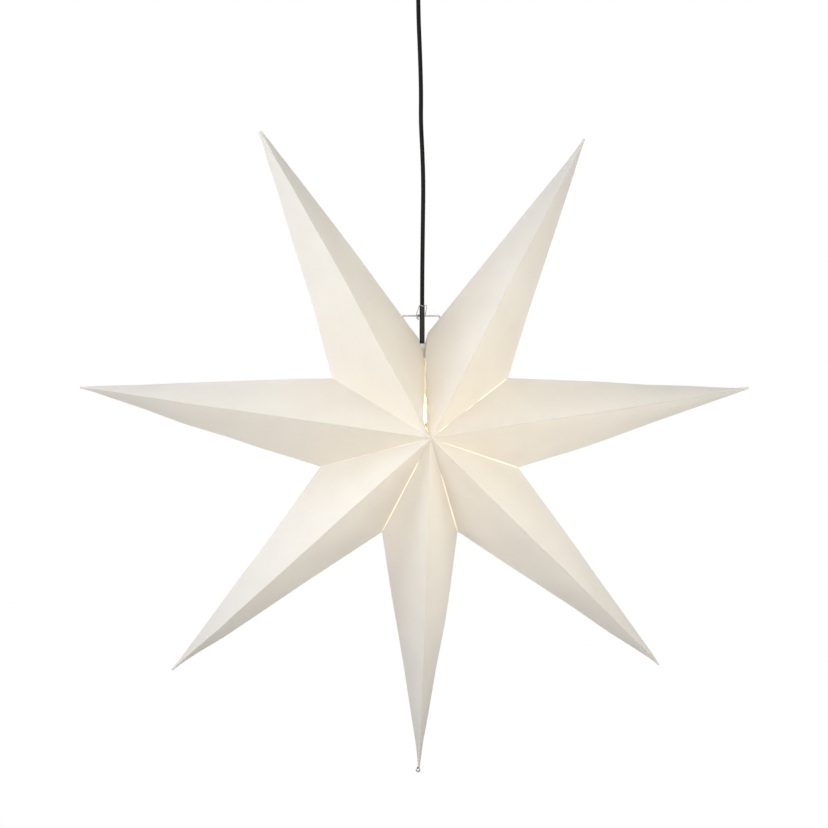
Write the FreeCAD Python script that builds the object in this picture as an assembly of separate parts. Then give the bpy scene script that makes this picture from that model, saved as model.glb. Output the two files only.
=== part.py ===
import FreeCAD, Part

# Seven-pointed folded paper star pendant, in millimetres.
# +Z is up and the origin is on the ceiling, on the ceiling fitting's axis. The star hangs
# below it and faces -Y. Angles in the star's plane run clockwise from straight up, as seen
# from the front. Heights named *_UP, and those of the turned lamp parts, are measured up
# from the star's centre.

import math
import os

Vector = FreeCAD.Vector
X_AXIS = Vector(1, 0, 0)
Y_AXIS = Vector(0, 1, 0)
Z_AXIS = Vector(0, 0, 1)

# The star
DROP = 740.0
STAR_X = 3.5
POINT_RADIUS = 500.0
VALLEY_RADIUS = 154.3
HALF_DEPTH = 130.0
PYRAMID_LENGTH = 1.5 * POINT_RADIUS
PAPER = 0.4
VALLEY_GAP = 0.3
SEAM_LEFT = (-1.3, 142.5)
SEAM_RIGHT = (4.2, 150.2)
VALLEY_ANGLES = (57.3, 108.8, 158.9, 201.7, 252.6, 302.7)
POINT_ANGLES = {
    "star_point_top_left": 332.2,
    "star_point_top_right": 29.1,
    "star_point_right": 82.1,
    "star_point_low_right": 133.8,
    "star_point_bottom": 180.4,
    "star_point_low_left": 226.9,
    "star_point_left": 278.0,
}
TIP_BALL_RADIUS = 3.4
TIP_BALL_AT = 497.7
TIP_NECK_RADIUS = 1.9
TIP_NECK_LENGTH = 5.2

# The cord, its sleeve and the wires that carry the star on it
CORD_RADIUS = 3.2
CORD_RUN_SHARE = 0.45
LAMP_X = 6.0
SLEEVE_RADIUS = 3.8
SLEEVE_BORE = 3.25
SLEEVE_TOP_UP = 188.5
SLEEVE_BOTTOM_UP = 130.0
CORD_END_UP = 116.0
CORD_TOP = -36.0
CORD_ROUTE = [
    (0.0, 0.0, CORD_TOP),
    (0.0, 0.0, -115.0),
    (3.1, 0.9, -183.0),
    (4.6, 0.2, -240.0),
    (3.9, -1.2, -280.0),
    (6.1, -1.5, -322.0),
    (7.9, -0.4, -371.0),
    (7.2, 0.9, -432.0),
    (LAMP_X, 0.0, -525.0),
    (LAMP_X, 0.0, CORD_END_UP - DROP),
]
HANGER_RADIUS = 1.1
HANGER_BEND = 3.0
HANGER_UP = 175.0
HANGER_Y = 5.6
HANGER_LEFT = -26.0
HANGER_RIGHT = 29.5
HANGER_LEG = 10.0
HANGER_HOLE_RADIUS = 1.9
LOOP_WIRE_RADIUS = 0.6
LOOP_RING_RADIUS = 4.15
LOOP_RING_UP = 189.5
LOOP_WRAP_GAP = 0.05
LOOP_BEND = 1.5
LOOP_LEFT = [(-4.75, 0.0, LOOP_RING_UP), (-6.0, 1.5, 184.0), (-6.4, HANGER_Y, 176.8)]
LOOP_TAIL = [(-6.4, HANGER_Y, 173.2), (-6.2, 5.2, 170.0), (-5.6, 4.9, 164.5)]
LOOP_RIGHT = [
    (4.75, 0.0, LOOP_RING_UP), (7.2, 0.6, 186.5), (7.0, 3.4, 180.5), (5.8, HANGER_Y, 176.8),
]

# The lampholder and its parts, round the lamp axis
WALL = 1.6
NUT_PROFILE = [(3.9, 126.0), (8.0, 126.0), (7.6, 128.0), (5.2, 134.0), (3.9, 134.0)]
CAP_PROFILE = [
    (3.35, 126.0), (7.0, 126.0), (9.5, 122.0), (14.0, 112.0), (14.0, 96.0), (12.4, 96.0),
    (12.4, 111.4), (8.6, 119.5), (3.35, 119.5),
]
INSERT_PROFILE = [(0.0, 102.0), (12.3, 102.0), (12.3, 94.2), (0.0, 94.2)]
SKIRT_PROFILE = [
    (12.4, 95.9), (14.0, 95.9), (13.6, 66.0), (9.0, 66.0), (9.0, 67.6), (12.0, 68.0),
    (12.2, 91.0), (9.6, 91.5), (9.6, 94.1), (12.4, 94.1),
]
SOCKET_PROFILE = [(7.2, 94.1), (7.6, 94.1), (7.6, 72.0), (8.0, 71.4), (7.6, 71.0), (7.2, 71.6)]
CONTACT_PROFILE = [(0.0, 94.1), (4.6, 94.1), (4.6, 93.7), (2.4, 93.3), (1.2, 91.4), (0.0, 91.1)]
TERMINAL_X = 7.6
TERMINAL_RADIUS = 1.5
TERMINAL_LOW = 98.0
TERMINAL_HIGH = 104.0
LAMP_LEAD_RADIUS = 0.9
LAMP_LEAD_SIDE = 1.4
LAMP_LEAD_END = 5.0
LAMP_LEAD_BEND = 2.5

# The bulb, round the same axis
STEM_LOW_UP = 44.0
BULB_CONTACT_PROFILE = [(0.0, 90.7), (1.6, 90.5), (2.4, 89.6), (2.4, 88.8), (0.0, 88.8)]
BULB_INSULATOR_PROFILE = [(0.0, 88.8), (2.6, 88.8), (5.6, 85.8), (5.6, 85.2), (0.0, 85.2)]
BULB_CAP_PROFILE = [
    (4.4, 85.1), (6.3, 85.1), (6.9, 84.2), (6.9, 70.0), (7.5, 69.0), (7.5, 64.4), (6.7, 64.4),
    (6.7, 67.2), (6.2, 67.8), (6.2, 83.8), (4.4, 84.2),
]
GLOBE_RADIUS = 22.5
GLOBE_UP = 32.0
NECK_RADIUS = 6.6
NECK_TOP_UP = 67.0
NECK_BLEND_RADIUS = 16.0
GLASS = 0.8
STEM_PROFILE = [
    (0.0, 69.0), (5.4, 69.0), (4.2, 60.0), (2.0, 50.0), (1.6, STEM_LOW_UP), (0.0, STEM_LOW_UP),
]
FILAMENT_RADIUS = 0.9
FILAMENT_COUNT = 4
FILAMENT_RING_TOP = 3.2
FILAMENT_RING_LOW = 7.0
FILAMENT_TOP_UP = 46.5
FILAMENT_LOW_UP = 20.0
FILAMENT_HUB_RADIUS = 0.8

# The ceiling fitting
STRAP_HALF = 45.0
STRAP_WIDTH = 20.0
STEEL = 2.0
SLOT_AT = 36.0
SLOT_LENGTH = 12.0
SLOT_RADIUS = 2.3
TAB_WIDTH = 18.0
TAB_Y = 5.2
TAB_LOW = -52.0
CLAMP_LOW = -50.0
CLAMP_HIGH = -40.0
CLAMP_FRONT = -5.0
CLAMP_BORE = CORD_RADIUS + 0.05
CLAMP_SCREW_X = 6.4
CLAMP_SCREW_RADIUS = 1.4
CLAMP_HEAD_RADIUS = 2.4
CLAMP_HEAD = 1.8
BLOCK_X = (10.0, 28.0)
BLOCK_HALF_Y = 7.4
BLOCK_Z = (-16.0, -2.0)
POLE_Y = 3.6
POLE_BORE = 1.6
POLE_Z = -9.0
POLE_SCREW_RADIUS = 1.8
POLE_SCREW_AT = (15.0, 23.0)
LEAD_RADIUS = 1.2
LEAD_SIDE = 1.5
LEAD_RISE = 7.0
LEAD_SWING = (-2.0, 3.5, -20.0)
LEAD_TURN_X = 2.0
LEAD_IN_BLOCK = 3.0
CUP_RADIUS = 50.0
CUP_RIM = -0.5
CUP_BOTTOM = -62.0
CUP_CORNER = 14.0
GLAND_HOLE = 5.1
GLAND_STEM = 5.05
GLAND_BORE = 4.5
GLAND_PROFILE = [
    (GLAND_BORE, -57.0), (8.4, -57.0), (8.4, -60.3), (GLAND_STEM, -60.4), (GLAND_STEM, -62.0),
    (8.2, -62.1), (7.8, -72.0), (6.4, -77.0), (GLAND_BORE, -78.0),
]
GRIP_Z = -68.0
GRIP_RADIUS = 2.0
GRIP_Y = (3.6, 10.2)
GRIP_SLOT_WIDTH = 0.8
GRIP_SLOT_DEPTH = 1.0

CENTRE = Vector(STAR_X, 0, -DROP)
FRONT_PEAK = CENTRE - Y_AXIS * HALF_DEPTH
BACK_PEAK = CENTRE + Y_AXIS * HALF_DEPTH


# Shapes that repeat


def solid_of(faces):
    return Part.Solid(Part.Shell(faces))


def box(low, high):
    size = Vector(*high) - Vector(*low)
    return Part.makeBox(size.x, size.y, size.z, Vector(*low))


def rod(start, end, radius):
    along = end - start
    return Part.makeCylinder(radius, along.Length, start, along)


def revolved(wire, x):
    """Full turn of a flat wire, drawn at radius, height, about the upright axis at x."""
    return Part.Face(wire).revolve(Vector(x, 0, 0), Z_AXIS, 360)


def turned(profile, x, zero=-DROP):
    """Turned solid of a closed (radius, height) outline; heights are measured from zero."""
    points = [Vector(x + radius, 0, zero + height) for radius, height in profile]
    return revolved(Part.makePolygon(points + points[:1]), x)


def rounded_path(points, bend=None):
    """Straight runs joined by tangent arcs, of one bend radius or as large as fits."""
    edges = []
    radii = []
    start = points[0]
    for before, corner, after in zip(points, points[1:], points[2:]):
        arriving = (corner - before).normalize()
        leaving = (after - corner).normalize()
        half_turn = arriving.getAngle(leaving) / 2
        shorter_run = min((corner - before).Length, (after - corner).Length)
        radius = bend or CORD_RUN_SHARE * shorter_run / math.tan(half_turn)
        reach = radius * math.tan(half_turn)
        arc_start = corner - arriving * reach
        arc_end = corner + leaving * reach
        inward = (leaving - arriving).normalize()
        middle = corner + inward * (radius / math.cos(half_turn) - radius)
        edges.append(Part.LineSegment(start, arc_start).toShape())
        edges.append(Part.Arc(arc_start, middle, arc_end).toShape())
        radii.append(radius)
        start = arc_end
    edges.append(Part.LineSegment(start, points[-1]).toShape())
    return Part.Wire(edges), radii


def tube(points, radius, bend=None):
    """Round tube along a rounded path, with the path's length and arc radii."""
    path, radii = rounded_path(points, bend)
    ring = Part.makeCircle(radius, points[0], points[1] - points[0])
    return path.makePipeShell([Part.Wire(ring)], True, False), path.Length, radii


# The folded paper points


def outward(angle):
    turn = math.radians(angle)
    return Vector(math.sin(turn), 0, math.cos(turn))


def in_plane(angle, radius):
    return CENTRE + outward(angle) * radius


def pyramid(tip, corners, out):
    """Solid with its apex at the tip; its edges run through the corners to past the axis."""
    base = []
    for corner in corners:
        edge = corner - tip
        base.append(tip + edge * (PYRAMID_LENGTH / -edge.dot(out)))
    rim = base + base[:1]
    faces = [Part.Face(Part.makePolygon([tip, a, b, tip])) for a, b in zip(rim, rim[1:])]
    faces.append(Part.Face(Part.makePolygon(rim)))
    return solid_of(faces)


def paper_step(tip, left, right, out):
    """Shift of the outer pyramid that leaves one paper thickness at all four faces."""
    side = outward_side(out)
    left_normal = (left - tip).cross(FRONT_PEAK - tip).normalize()
    right_normal = (FRONT_PEAK - tip).cross(right - tip).normalize()
    if left_normal.dot(side) > 0:
        left_normal = left_normal * -1
    if right_normal.dot(side) < 0:
        right_normal = right_normal * -1
    a, b = left_normal.dot(side), left_normal.dot(out)
    c, d = right_normal.dot(side), right_normal.dot(out)
    scale = PAPER / (a * d - b * c)
    return side * ((b - d) * scale) + out * ((c - a) * scale)


def outward_side(out):
    """Direction in the star's plane a quarter turn clockwise from out."""
    return Vector(out.z, 0, -out.x)


def sector(left_angle, right_angle):
    """Upright prism between the two valley planes, set in by half the valley gap."""
    middle = (left_angle + right_angle) / 2
    half = math.radians(right_angle - left_angle) / 2
    corner = in_plane(middle, VALLEY_GAP / 2 / math.sin(half))
    reach = 2 * POINT_RADIUS
    outline = [corner, corner + outward(left_angle) * reach, corner + outward(right_angle) * reach]
    face = Part.Face(Part.makePolygon(outline + outline[:1]))
    depth = HALF_DEPTH + PAPER
    face.translate(Y_AXIS * -depth)
    return face.extrude(Y_AXIS * 2 * depth)


def full_spike(angle, left, right):
    out = outward(angle)
    tip = in_plane(angle, POINT_RADIUS)
    return pyramid(tip, [FRONT_PEAK, right, BACK_PEAK, left], out)


def star_point(angle, left_valley, right_valley):
    """One folded point: four paper faces, open towards the star's axis."""
    left = in_plane(*left_valley)
    right = in_plane(*right_valley)
    out = outward(angle)
    spike = full_spike(angle, left, right)
    hollow = spike.copy()
    hollow.translate(paper_step(in_plane(angle, POINT_RADIUS), left, right, out))
    left_angle, right_angle = left_valley[0], right_valley[0]
    while right_angle < left_angle:
        right_angle += 360
    return spike.cut(hollow).common(sector(left_angle, right_angle))


def hanger_leg_axis(x):
    top = Vector(STAR_X + x, HANGER_Y, HANGER_UP - DROP)
    return top, top - Z_AXIS * (HANGER_LEG + HANGER_RADIUS)


def star_points():
    """All seven points; the two beside the open seam have a hole for the hanger."""
    valleys = [SEAM_RIGHT] + [(angle, VALLEY_RADIUS) for angle in VALLEY_ANGLES] + [SEAM_LEFT]
    names = sorted(POINT_ANGLES, key=POINT_ANGLES.get)
    shapes = {}
    for name, left, right in zip(names, valleys, valleys[1:]):
        shapes[name] = star_point(POINT_ANGLES[name], left, right)
    for name, x in [("star_point_top_left", HANGER_LEFT), ("star_point_top_right", HANGER_RIGHT)]:
        shapes[name] = shapes[name].cut(rod(*hanger_leg_axis(x), HANGER_HOLE_RADIUS))
    return shapes


def tip_ball():
    """Metal ball with a short neck, bored to sit on the bottom point's paper tip."""
    angle = POINT_ANGLES["star_point_bottom"]
    centre = in_plane(angle, TIP_BALL_AT)
    neck_end = in_plane(angle, TIP_BALL_AT - TIP_NECK_LENGTH)
    ball = Part.makeSphere(TIP_BALL_RADIUS, centre).fuse(rod(centre, neck_end, TIP_NECK_RADIUS))
    left = in_plane(VALLEY_ANGLES[2], VALLEY_RADIUS)
    right = in_plane(VALLEY_ANGLES[3], VALLEY_RADIUS)
    return ball.cut(full_spike(angle, left, right))


# The cord and the wires round it


def at_lamp(points):
    return [Vector(LAMP_X + x, y, up - DROP) for x, y, up in points]


def hanger_wire():
    """Steel wire across the seam, bent down at both ends into the paper."""
    bar = HANGER_UP - DROP
    low = bar - HANGER_LEG
    left, right = STAR_X + HANGER_LEFT, STAR_X + HANGER_RIGHT
    route = [(left, low), (left, bar), (right, bar), (right, low)]
    points = [Vector(x, HANGER_Y, z) for x, z in route]
    return tube(points, HANGER_RADIUS, HANGER_BEND)[0]


def cord_loop():
    """Thin wire round the cord, above the sleeve, tied to the hanger on both sides."""
    ring = Part.makeTorus(LOOP_RING_RADIUS, LOOP_WIRE_RADIUS, *at_lamp([(0, 0, LOOP_RING_UP)]))
    wrap = HANGER_RADIUS + LOOP_WIRE_RADIUS + LOOP_WRAP_GAP
    parts = []
    for end in (LOOP_LEFT[-1], LOOP_RIGHT[-1]):
        centre = Vector(LAMP_X + end[0], HANGER_Y, HANGER_UP - DROP)
        parts.append(Part.makeTorus(wrap, LOOP_WIRE_RADIUS, centre, X_AXIS))
    for route in (LOOP_LEFT, LOOP_TAIL, LOOP_RIGHT):
        parts.append(tube(at_lamp(route), LOOP_WIRE_RADIUS, LOOP_BEND)[0])
    return ring.multiFuse(parts)


def pendant_cord():
    shape, length, radii = tube([Vector(*point) for point in CORD_ROUTE], CORD_RADIUS)
    expected = math.pi * CORD_RADIUS**2 * length
    print("cord length", round(length, 1), "arc radii", [round(radius) for radius in radii])
    print("cord volume / (section x length)", round(shape.Volume / expected, 4))
    return shape


def cord_sleeve():
    profile = [
        (SLEEVE_BORE, SLEEVE_BOTTOM_UP),
        (SLEEVE_RADIUS, SLEEVE_BOTTOM_UP),
        (SLEEVE_RADIUS, SLEEVE_TOP_UP),
        (SLEEVE_BORE, SLEEVE_TOP_UP),
    ]
    return turned(profile, LAMP_X)


# The lampholder and the bulb


def both_sides(x, low, high, radius):
    """Two upright rods beside the lamp axis."""
    rods = []
    for side in (-x, x):
        bottom, top = at_lamp([(side, 0, low), (side, 0, high)])
        rods.append(rod(bottom, top, radius))
    return Part.makeCompound(rods)


def lampholder_insert():
    """Insulating disc, with a hole for each contact screw."""
    holes = both_sides(TERMINAL_X, TERMINAL_LOW, TERMINAL_HIGH, TERMINAL_RADIUS)
    return turned(INSERT_PROFILE, LAMP_X).cut(holes)


def lamp_leads():
    """The cord's two cores, from its end to the contact screws."""
    leads = []
    for side in (-1, 1):
        route = [
            (side * LAMP_LEAD_SIDE, 0, CORD_END_UP),
            (side * LAMP_LEAD_SIDE, 0, CORD_END_UP - LAMP_LEAD_END),
            (side * TERMINAL_X, 0, TERMINAL_HIGH + LAMP_LEAD_END),
            (side * TERMINAL_X, 0, TERMINAL_HIGH),
        ]
        leads.append(tube(at_lamp(route), LAMP_LEAD_RADIUS, LAMP_LEAD_BEND)[0])
    return Part.makeCompound(leads)


def globe_outline(inset):
    """Half outline of the bulb's glass from the neck down to the pole, as edges."""
    globe = GLOBE_RADIUS - inset
    neck = NECK_RADIUS - inset
    blend = NECK_BLEND_RADIUS + inset
    centre = Vector(LAMP_X, 0, GLOBE_UP - DROP)
    rise = math.sqrt((globe + blend) ** 2 - (neck + blend) ** 2)
    blend_centre = centre + Vector(neck + blend, 0, rise)
    tangent = centre + (blend_centre - centre).normalize() * globe
    neck_low = blend_centre - X_AXIS * blend
    neck_top = Vector(neck_low.x, 0, NECK_TOP_UP - DROP)
    inside = ((neck_low + tangent) * 0.5 - blend_centre).normalize()
    pole = centre - Z_AXIS * globe
    widest = centre + X_AXIS * globe
    edges = [
        Part.LineSegment(neck_top, neck_low).toShape(),
        Part.Arc(neck_low, blend_centre + inside * blend, tangent).toShape(),
        Part.Arc(tangent, widest, pole).toShape(),
    ]
    return edges, neck_top, pole


def bulb_glass():
    outer, outer_top, outer_pole = globe_outline(0)
    inner, inner_top, inner_pole = globe_outline(GLASS)
    rim = Part.LineSegment(outer_top, inner_top).toShape()
    pole = Part.LineSegment(outer_pole, inner_pole).toShape()
    outline = Part.Wire(Part.__sortEdges__(outer + inner + [rim, pole]))
    return revolved(outline, LAMP_X)


def bulb_filaments():
    """Four slanted light sticks round a thin centre wire."""
    hub = rod(*at_lamp([(0, 0, STEM_LOW_UP), (0, 0, FILAMENT_LOW_UP)]), FILAMENT_HUB_RADIUS)
    sticks = [hub]
    for index in range(FILAMENT_COUNT):
        turn = 2 * math.pi * (index + 0.5) / FILAMENT_COUNT
        ends = []
        for ring, up in [(FILAMENT_RING_TOP, FILAMENT_TOP_UP), (FILAMENT_RING_LOW, FILAMENT_LOW_UP)]:
            ends.append((ring * math.cos(turn), ring * math.sin(turn), up))
        sticks.append(rod(*at_lamp(ends), FILAMENT_RADIUS))
    return Part.makeCompound(sticks)


# The ceiling fitting


def slotted_strap():
    """Steel strap with two screw slots and a tab bent down for the cord clamp."""
    half_width = STRAP_WIDTH / 2
    strap = box((-STRAP_HALF, -half_width, -STEEL), (STRAP_HALF, half_width, 0))
    tab = box((-TAB_WIDTH / 2, TAB_Y, TAB_LOW), (TAB_WIDTH / 2, TAB_Y + STEEL, -STEEL))
    half_slot = SLOT_LENGTH / 2 - SLOT_RADIUS
    cuts = []
    for side in (-1, 1):
        near, far = side * SLOT_AT - half_slot, side * SLOT_AT + half_slot
        cuts.append(box((near, -SLOT_RADIUS, -STEEL), (far, SLOT_RADIUS, 0)))
        for x in (near, far):
            cuts.append(Part.makeCylinder(SLOT_RADIUS, STEEL, Vector(x, 0, -STEEL)))
        cuts.append(clamp_screw_shank(side))
    return strap.fuse(tab).cut(Part.makeCompound(cuts)).removeSplitter()


def clamp_screw_shank(side):
    z = (CLAMP_LOW + CLAMP_HIGH) / 2
    front = Vector(side * CLAMP_SCREW_X, CLAMP_FRONT, z)
    back = Vector(side * CLAMP_SCREW_X, TAB_Y + STEEL, z)
    return rod(front, back, CLAMP_SCREW_RADIUS)


def cord_clamp():
    block = box((-TAB_WIDTH / 2, CLAMP_FRONT, CLAMP_LOW), (TAB_WIDTH / 2, TAB_Y, CLAMP_HIGH))
    bore = rod(Vector(0, 0, CLAMP_LOW), Vector(0, 0, CLAMP_HIGH), CLAMP_BORE)
    shanks = [clamp_screw_shank(-1), clamp_screw_shank(1)]
    return block.cut(bore).cut(Part.makeCompound(shanks))


def clamp_screws():
    screws = []
    for side in (-1, 1):
        shank = clamp_screw_shank(side)
        seat = Vector(side * CLAMP_SCREW_X, CLAMP_FRONT, (CLAMP_LOW + CLAMP_HIGH) / 2)
        head = rod(seat, seat - Y_AXIS * CLAMP_HEAD, CLAMP_HEAD_RADIUS)
        screws.append(shank.fuse(head))
    return Part.makeCompound(screws)


def pole_screws():
    screws = []
    for x in POLE_SCREW_AT:
        for y in (-POLE_Y, POLE_Y):
            top = Vector(x, y, POLE_Z + POLE_BORE)
            screws.append(rod(top, Vector(x, y, BLOCK_Z[0]), POLE_SCREW_RADIUS))
    return Part.makeCompound(screws)


def terminal_block():
    """Two-pole block: a wire bore through each pole, and two clamping screws a pole."""
    block = box((BLOCK_X[0], -BLOCK_HALF_Y, BLOCK_Z[0]), (BLOCK_X[1], BLOCK_HALF_Y, BLOCK_Z[1]))
    bores = []
    for y in (-POLE_Y, POLE_Y):
        near, far = Vector(BLOCK_X[0], y, POLE_Z), Vector(BLOCK_X[1], y, POLE_Z)
        bores.append(rod(near, far, POLE_BORE))
    return block.cut(Part.makeCompound(bores)).cut(pole_screws())


def ceiling_lead(side):
    """One core of the cord, from its end up and across to the terminal block."""
    swing_x, swing_y, swing_z = LEAD_SWING
    route = [
        (0, side * LEAD_SIDE, CORD_TOP),
        (0, side * LEAD_SIDE, CORD_TOP + LEAD_RISE),
        (swing_x, side * swing_y, swing_z),
        (LEAD_TURN_X, side * POLE_Y, POLE_Z),
        (BLOCK_X[0] + LEAD_IN_BLOCK, side * POLE_Y, POLE_Z),
    ]
    return tube([Vector(*point) for point in route], LEAD_RADIUS)[0]


def ceiling_cup():
    """Turned cup with a rounded bottom edge and a hole for the cord's gland."""
    edges = []
    inner_bottom = CUP_BOTTOM + WALL
    ends = []
    for radius, bottom, corner in [
        (CUP_RADIUS, CUP_BOTTOM, CUP_CORNER),
        (CUP_RADIUS - WALL, inner_bottom, CUP_CORNER - WALL),
    ]:
        rim = Vector(radius, 0, CUP_RIM)
        side_low = Vector(radius, 0, bottom + corner)
        bottom_out = Vector(radius - corner, 0, bottom)
        diagonal = (X_AXIS - Z_AXIS).normalize() * corner
        middle = Vector(radius - corner, 0, bottom + corner) + diagonal
        hole = Vector(GLAND_HOLE, 0, bottom)
        edges.append(Part.LineSegment(rim, side_low).toShape())
        edges.append(Part.Arc(side_low, middle, bottom_out).toShape())
        edges.append(Part.LineSegment(bottom_out, hole).toShape())
        ends.append((rim, hole))
    for outer_end, inner_end in zip(*ends):
        edges.append(Part.LineSegment(outer_end, inner_end).toShape())
    return revolved(Part.Wire(Part.__sortEdges__(edges)), 0)


def grip_screw_body():
    return rod(Vector(0, GRIP_Y[0], GRIP_Z), Vector(0, GRIP_Y[1], GRIP_Z), GRIP_RADIUS)


def cup_gland():
    return turned(GLAND_PROFILE, 0, 0).cut(grip_screw_body())


def grip_screw():
    half = GRIP_SLOT_WIDTH / 2
    low = (-GRIP_RADIUS, GRIP_Y[1] - GRIP_SLOT_DEPTH, GRIP_Z - half)
    slot = box(low, (GRIP_RADIUS, GRIP_Y[1], GRIP_Z + half))
    return grip_screw_body().cut(slot)


def all_pieces():
    pieces = star_points()
    pieces["star_tip_ball"] = tip_ball()
    pieces["hanger_wire"] = hanger_wire()
    pieces["cord_loop"] = cord_loop()
    pieces["pendant_cord"] = pendant_cord()
    pieces["cord_sleeve"] = cord_sleeve()
    pieces["lampholder_nut"] = turned(NUT_PROFILE, LAMP_X)
    pieces["lampholder_cap"] = turned(CAP_PROFILE, LAMP_X)
    pieces["lampholder_insert"] = lampholder_insert()
    pieces["lampholder_skirt"] = turned(SKIRT_PROFILE, LAMP_X)
    pieces["lampholder_socket"] = turned(SOCKET_PROFILE, LAMP_X)
    pieces["lampholder_contact"] = turned(CONTACT_PROFILE, LAMP_X)
    pieces["contact_screws"] = both_sides(TERMINAL_X, TERMINAL_LOW, TERMINAL_HIGH, TERMINAL_RADIUS)
    pieces["lamp_leads"] = lamp_leads()
    pieces["bulb_glass"] = bulb_glass()
    pieces["bulb_cap"] = turned(BULB_CAP_PROFILE, LAMP_X)
    pieces["bulb_insulator"] = turned(BULB_INSULATOR_PROFILE, LAMP_X)
    pieces["bulb_contact"] = turned(BULB_CONTACT_PROFILE, LAMP_X)
    pieces["bulb_stem"] = turned(STEM_PROFILE, LAMP_X)
    pieces["bulb_filaments"] = bulb_filaments()
    pieces["ceiling_strap"] = slotted_strap()
    pieces["cord_clamp"] = cord_clamp()
    pieces["clamp_screws"] = clamp_screws()
    pieces["terminal_block"] = terminal_block()
    pieces["terminal_screws"] = pole_screws()
    pieces["live_lead"] = ceiling_lead(-1)
    pieces["neutral_lead"] = ceiling_lead(1)
    pieces["ceiling_cup"] = ceiling_cup()
    pieces["cup_gland"] = cup_gland()
    pieces["grip_screw"] = grip_screw()
    return pieces


os.makedirs("parts", exist_ok=True)
for node, shape in all_pieces().items():
    print(node, "valid" if shape.isValid() else "INVALID", round(shape.Volume / 1000, 3), "cm3")
    shape.exportStep(f"parts/{node}.step")
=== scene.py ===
"""Looks of the moravian star pendant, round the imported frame. Metres, +Z up, camera along +Y."""

import math

import bmesh
import bpy
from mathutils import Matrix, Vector, noise


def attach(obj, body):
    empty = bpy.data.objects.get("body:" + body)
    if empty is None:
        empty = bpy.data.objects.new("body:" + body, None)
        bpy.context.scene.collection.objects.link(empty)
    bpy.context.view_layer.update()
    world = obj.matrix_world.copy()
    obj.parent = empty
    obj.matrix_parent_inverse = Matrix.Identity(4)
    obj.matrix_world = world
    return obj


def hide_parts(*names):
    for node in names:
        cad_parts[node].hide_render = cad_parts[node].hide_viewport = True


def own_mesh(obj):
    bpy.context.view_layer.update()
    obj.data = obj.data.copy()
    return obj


MM = 0.001

# The star, as in its solids: lengths in mm, angles clockwise from up, seen from the front;
# CENTRE is in metres, and the lamp inside hangs a little to the right of it, at LAMP_X
STAR_X = 3.5
STAR_UP = -740.0
CENTRE = Vector((STAR_X, 0.0, STAR_UP)) * MM
LAMP_X = 6.0
POINT_RADIUS = 500.0
VALLEY_RADIUS = 154.3
HALF_DEPTH = 130.0
SEAM_LEFT = (-1.3, 142.5)
SEAM_RIGHT = (4.2, 150.2)

# The points: (angle, left corner, right corner); a corner is (angle, radius), left is anticlockwise
POINTS = {
    "top_left": (332.2, (302.7, VALLEY_RADIUS), SEAM_LEFT),
    "top_right": (29.1, SEAM_RIGHT, (57.3, VALLEY_RADIUS)),
    "right": (82.1, (57.3, VALLEY_RADIUS), (108.8, VALLEY_RADIUS)),
    "low_right": (133.8, (108.8, VALLEY_RADIUS), (158.9, VALLEY_RADIUS)),
    "bottom": (180.4, (158.9, VALLEY_RADIUS), (201.7, VALLEY_RADIUS)),
    "low_left": (226.9, (201.7, VALLEY_RADIUS), (252.6, VALLEY_RADIUS)),
    "left": (278.0, (252.6, VALLEY_RADIUS), (302.7, VALLEY_RADIUS)),
}

# Paper panels: the columns start with narrow ones that round the fold off, and crowd at the edges;
# the rows crowd at the tip
PANEL_ROWS = 60
PANEL_COLUMNS = 22
FOLD_COLUMNS = (0.0, 0.0025, 0.0055, 0.011)
COLUMN_CROWDING = 0.6
ROW_SPREAD = 1.25

# Where the ridges end short of the peak's axis, in mm; how near in metres two points are one; and
# from what angle in degrees an edge is sharp
PEAK_HOLE = 0.8
WELD_DISTANCE = 0.00002
CREASE_ANGLE = 24.0

# The sheet's bulge and slow waves in mm; the seeds go by the point's angle, the side and the front
BULGE = 0.8
WAVE = 1.0
WAVE_SCALE = 0.011
WAVE_SEEDS = (0.13, 1.7, 5.0)
WAVE_SEED_SLOPE = 0.7

# The folded ridge stands proud by a bead, in mm, that is at its full height a quarter of the way in
FOLD_BEAD = 0.5
FOLD_BEAD_WIDTH = 1.0
FOLD_BEAD_GROWTH = 4

# Glue flaps inside the valleys: width in mm, lean to the panel's side, how fast they taper
# towards both ends, and the share of the width that is left at the corner
FLAP_WIDTH = 9.0
FLAP_LEAN = 0.16
FLAP_TAPER = 8
FLAP_CORNER = 0.02

# Painted shade on the paper, by distance in metres from a place to the left of the star's centre
# and above it: darker and warmer near the centre, darker towards the tips
PAINTED_SHADE_SHIFT = (-15.0, 0.0, 60.0)
PAPER_PAINTED_SHADE = [(0.08, (0.88, 0.875, 0.85)), (0.13, (0.95, 0.945, 0.92)), (0.2, (1.0, 1.0, 0.99)),
              (0.3, (0.985, 0.985, 0.985)), (0.52, (0.84, 0.85, 0.87))]

# Blunt tips, in mm: half-width (narrower on two points), half-depth, and the rounding past them
TIP_HALF_WIDTH = 0.95
TIP_WIDTHS = {"low_left": 0.7, "left": 0.8}
TIP_HALF_DEPTH = 0.6
TIP_ROUNDING = 0.5

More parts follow.
